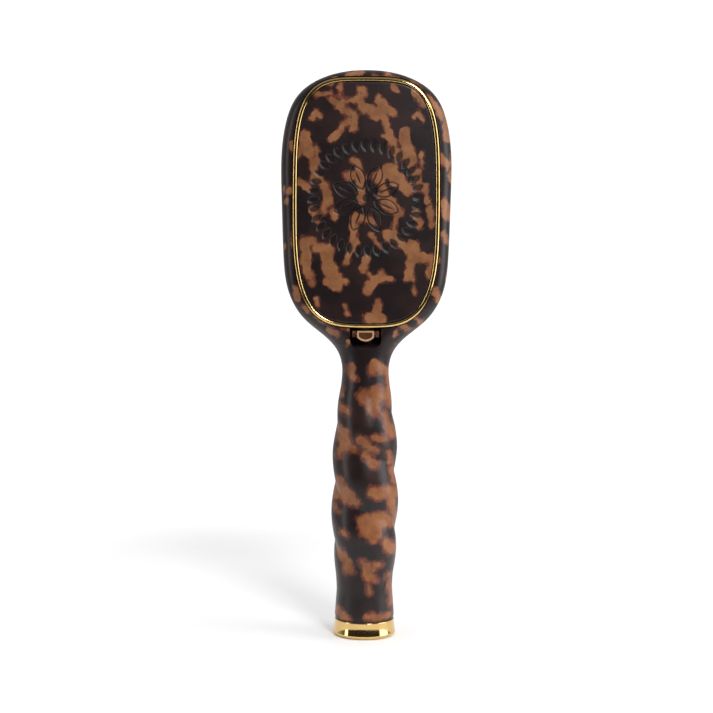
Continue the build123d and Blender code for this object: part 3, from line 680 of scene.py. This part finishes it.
def tortoise(name):
    """Dark ground with amber patches that fade to it through red."""
    m = Nodes(name)
    fine = m.math("SUBTRACT", m.noise(620, 2.5, 0.55), 0.5)
    broad = m.math("SUBTRACT", m.noise(210, 1.5, 0.5), 0.5)
    # free-running pattern for the back and for the rim, where patches were not read
    warp = m.t.nodes.new("ShaderNodeVectorMath")
    warp.operation = "MULTIPLY_ADD"
    m.put(warp.inputs[0], m.noise(120, 2, 0.5, colour=True))
    warp.inputs[1].default_value = (0.007, 0.007, 0.007)
    m.put(warp.inputs[2], m.coord)
    free = m.noise(78, 1.2, 0.42, 0.9, vector=warp.outputs[0])
    free = m.math("MULTIPLY", m.math("SUBTRACT", free, 0.565), 26.0)
    read = m.math("MAXIMUM", m.attribute("amber"), m.math("SUBTRACT", free, m.attribute("calm")))
    field = m.blend(m.attribute("front"), free, read)
    field = m.math("ADD", field, m.math("ADD", m.math("MULTIPLY", fine, 1.5), m.math("MULTIPLY", broad, 2.6)))
    sep = m.t.nodes.new("ShaderNodeSeparateXYZ")
    m.put(sep.inputs[0], m.coord)
    handle = m.range(m.math("MULTIPLY", sep.outputs[2], -1.0), -0.126, -0.112)
    field = m.math("ADD", field, m.blend(handle, 0.08, 0.25))
    warm = m.math("DIVIDE", field, m.blend(handle, 0.4, 0.7))
    cloud = m.noise(160, 3, 0.6)
    dark = m.mix(m.range(m.noise(70, 2, 0.5), 0.35, 0.7), (0.0095, 0.005, 0.0055), (0.024, 0.011, 0.01))
    amber_lid = m.mix(m.range(cloud, 0.3, 0.7), (0.185, 0.072, 0.029), (0.285, 0.122, 0.052))
    amber_handle = m.mix(m.range(cloud, 0.3, 0.7), (0.165, 0.053, 0.018), (0.265, 0.1, 0.036))
    amber = m.mix(handle, amber_lid, amber_handle)
    red = m.mix(m.range(m.noise(130, 2), 0.35, 0.65), (0.07, 0.024, 0.015), (0.125, 0.032, 0.021))
    c = m.mix(m.range(warm, -1.9, -0.2), dark, red)
    c = m.mix(m.range(warm, -0.35, 1.15), c, amber)
    # painted shade in the engraving: its floor is darkened to near-black
    c = m.mix(m.math("MULTIPLY", m.attribute("cut"), 0.82), c, (0.011, 0.0055, 0.0052))
    m.set(Base_Color=c, Roughness=m.range(m.noise(900, 2), 0.2, 0.8, 0.3, 0.38, smooth=False), IOR=1.49,
          Specular_IOR_Level=0.34)
    m.bump(m.noise(420, 1), 0.00002, 0.5)
    return m.mat


def gold(name, rough=0.11):
    m = Nodes(name)
    brushed = m.noise(260, 3, 0.55, vector=m.scaled(1, 1, 3))
    c = m.mix(brushed, (0.66, 0.43, 0.16), (0.78, 0.54, 0.225))
    smear = m.noise(55, 4, 0.6)
    m.set(Base_Color=c, Metallic=1.0,
          Roughness=m.range(smear, 0.25, 0.75, rough - 0.03, rough + 0.05, smooth=False))
    m.bump(m.noise(900, 3, 0.6), 0.000006, 0.5)
    return m.mat


def plain(name, colour, colour2, rough, rough2, scale=300, bump=0.00002, metallic=0.0, **more):
    m = Nodes(name)
    n = m.noise(scale, 4, 0.6)
    m.set(Base_Color=m.mix(n, colour, colour2), Metallic=metallic,
          Roughness=m.range(m.noise(scale * 1.7, 3), 0.25, 0.75, rough, rough2, smooth=False), **more)
    m.bump(m.noise(scale * 3, 3, 0.6), bump, 0.6)
    return m.mat


def latch_brown():
    """Brown moulding whose rim, standing proud at the front, is painted paler than its dished middle: a painted
    highlight.
    """
    m = Nodes("latch_brown")
    sep = m.t.nodes.new("ShaderNodeSeparateXYZ")
    m.put(sep.inputs[0], m.coord)
    # painted highlight: faces in front of y -8.9 mm (the rim) ramp to the pale colour by -9.12 mm
    painted_rim_highlight = m.range(m.math("MULTIPLY", sep.outputs[1], -1000.0), 8.9, 9.12)
    mottle = m.noise(500, 3, 0.6)
    # the second, pale mix is the painted highlight on the rim; the first is the lever's own brown
    m.set(Base_Color=m.mix(painted_rim_highlight, m.mix(mottle, (0.035, 0.014, 0.008), (0.13, 0.05, 0.02)),
                           m.mix(mottle, (0.42, 0.24, 0.13), (0.55, 0.34, 0.19))),
          Roughness=m.range(m.noise(900, 2), 0.2, 0.8, 0.1, 0.18), Coat_Weight=0.6)
    m.bump(m.noise(700, 2), 0.000006, 0.5)
    return m.mat


def paint_all(mat, *objects):
    for o in objects:
        o.data.materials.clear()
        o.data.materials.append(mat)


shell = tortoise("tortoise_painted")
brass = gold("gold_band")
cap_gold = gold("gold_cap", 0.075)
steel = plain("bright_steel", (0.55, 0.55, 0.56), (0.66, 0.66, 0.67), 0.2, 0.32, 700, 0.000004, 1.0)
black = plain("moulded_black", (0.012, 0.011, 0.011), (0.02, 0.018, 0.017), 0.35, 0.5, 400, 0.000015)
brown = plain("moulded_brown", (0.02, 0.012, 0.01), (0.032, 0.018, 0.014), 0.3, 0.4, 400, 0.000012)
rubber = plain("soft_rubber", (0.014, 0.012, 0.011), (0.024, 0.02, 0.018), 0.42, 0.56, 350, 0.00003)
nylon = plain("nylon_pins", (0.02, 0.013, 0.01), (0.036, 0.022, 0.015), 0.3, 0.42, 500, 0.00001)
bead = plain("pin_beads", (0.1, 0.045, 0.016), (0.17, 0.08, 0.028), 0.14, 0.22, 500, 0.000006, Coat_Weight=0.4)
felt = plain("dark_flock", (0.02, 0.012, 0.01), (0.05, 0.03, 0.024), 0.85, 0.95, 1500, 0.00012, Sheen_Weight=0.5,
             Sheen_Roughness=0.5)
foam = plain("adhesive_foam", (0.7, 0.7, 0.68), (0.8, 0.8, 0.78), 0.7, 0.85, 900, 0.00003)
silver = plain("silvered_glass", (0.86, 0.88, 0.88), (0.89, 0.9, 0.9), 0.012, 0.03, 60, 0.0000005, 1.0)
paint_all(shell, body, panel)
paint_all(latch_brown(), nodes["latch_lever"])
paint_all(brass, nodes["lid_ring"], nodes["mirror_frame"], nodes["cushion_trim"])
paint_all(cap_gold, cap)
paint_all(steel, *[nodes[n] for n in ("hinge_pin", "latch_pin", "latch_spring", "bracket_screws", "plate_screws",
                                      "cap_stud", "lid_catch")])
paint_all(black, *[nodes[n] for n in ("compartment_liner", "hinge_bracket", "cushion_plate", "cap_plug",
                                      "cap_gasket")])
paint_all(brown, nodes["lid_base"])
paint_all(rubber, pad)
paint_all(nylon, pins)
paint_all(bead, tips)
paint_all(felt, nodes["liner_pad"])
paint_all(foam, nodes["mirror_tape"])
paint_all(silver, nodes["mirror_glass"])
for n in ("lid_ring", "latch_lever", "cushion_trim", "mirror_frame", "lid_base", "hinge_bracket",
          "hinge_pin", "bracket_screws", "mirror_glass", "compartment_liner", "lid_catch"):
    sharp_by_angle(nodes[n], 30)

# ------------------------------------------------------------------ floor, light, camera
floor_mat = Nodes("pale_floor")
floor_mat.set(Base_Color=floor_mat.mix(floor_mat.noise(3, 2), (0.86, 0.86, 0.87), (0.88, 0.88, 0.88)),
              Roughness=0.75)
bpy.ops.mesh.primitive_circle_add(vertices=96, radius=0.4, fill_type="NGON", location=(0, 0, 0))
floor = bpy.context.object
floor.name = "floor"
floor.data.materials.append(floor_mat.mat)
# the floor thins out to nothing away from the brush, so it has no horizon
away = floor_mat.t.nodes.new("ShaderNodeVectorMath")
away.operation = "LENGTH"
floor_mat.put(away.inputs[0], floor_mat.coord)
floor_mat.set(Alpha=floor_mat.range(away.outputs["Value"], 0.2, 0.36, 1.0, 0.0))

# The sky lights the brush from above and from behind it. The part behind the camera is dark, so a polished face
# turned to the camera keeps its own colour. Rays straight from the camera see an even white backdrop instead.
world = bpy.data.worlds.new("studio")
scene.world = world
world.use_nodes = True
wt = world.node_tree
sky = wt.nodes["Background"]
sky_dir = wt.nodes.new("ShaderNodeTexCoord")
sky_xyz = wt.nodes.new("ShaderNodeSeparateXYZ")
wt.links.new(sky_dir.outputs["Generated"], sky_xyz.inputs[0])


def sky_ramp(value, a, b, low, high):
    n = wt.nodes.new("ShaderNodeMapRange")
    n.interpolation_type = "SMOOTHSTEP"
    wt.links.new(value, n.inputs["Value"])
    for s, v in zip(("From Min", "From Max", "To Min", "To Max"), (a, b, low, high)):
        n.inputs[s].default_value = v
    return n.outputs[0]


behind = sky_ramp(sky_xyz.outputs[1], -0.5, 0.6, 0.03, 0.55)
above = sky_ramp(sky_xyz.outputs[2], 0.3, 0.9, 0.0, 0.3)
sky_max = wt.nodes.new("ShaderNodeMath")
sky_max.operation = "MAXIMUM"
wt.links.new(behind, sky_max.inputs[0])
wt.links.new(above, sky_max.inputs[1])
seen = wt.nodes.new("ShaderNodeLightPath")
backdrop = wt.nodes.new("ShaderNodeMix")
wt.links.new(seen.outputs["Is Camera Ray"], backdrop.inputs[0])
wt.links.new(sky_max.outputs[0], backdrop.inputs[2])
backdrop.inputs[3].default_value = 1.1
wt.links.new(backdrop.outputs[0], sky.inputs[1])
sky.inputs[0].default_value = (1, 1, 1, 1)


def softbox(name, loc, target, size, power):
    d = bpy.data.lights.new(name, "AREA")
    d.shape = "RECTANGLE"
    d.size, d.size_y = size
    d.energy = power
    ob = bpy.data.objects.new(name, d)
    ob.location = loc
    ob.rotation_euler = (Vector(target) - Vector(loc)).to_track_quat("-Z", "Y").to_euler()
    scene.collection.objects.link(ob)
    return ob


softbox("key_right", (0.36, -0.88, 0.7), (0, 0, 0.08), (0.28, 0.36), 7.0)
softbox("rim_right", (0.9, -0.2, 0.32), (0, 0, 0.18), (0.6, 0.9), 6.2)
softbox("fill_left", (-0.95, -0.35, 0.3), (0, 0, 0.14), (0.22, 1.0), 2.6)
# not mirrored in the gold, so that it only lights the floor and the brush
overhead = softbox("overhead", (0, 0.4, 2.0), (0, 0.4, 0), (4.4, 4.4), 50)
overhead.visible_glossy = False

cam = bpy.data.cameras.new("camera")
cam.sensor_width = 36.0
cam.lens = 70.99
cam.shift_x, cam.shift_y = -0.01304, -0.00224
cam_ob = bpy.data.objects.new("camera", cam)
cam_ob.location = (0, -0.600, 0.148)
cam_ob.rotation_euler = (math.radians(90 - 2.672), math.radians(-0.26), 0)
scene.collection.objects.link(cam_ob)
scene.camera = cam_ob
scene.view_settings.view_transform = "Standard"
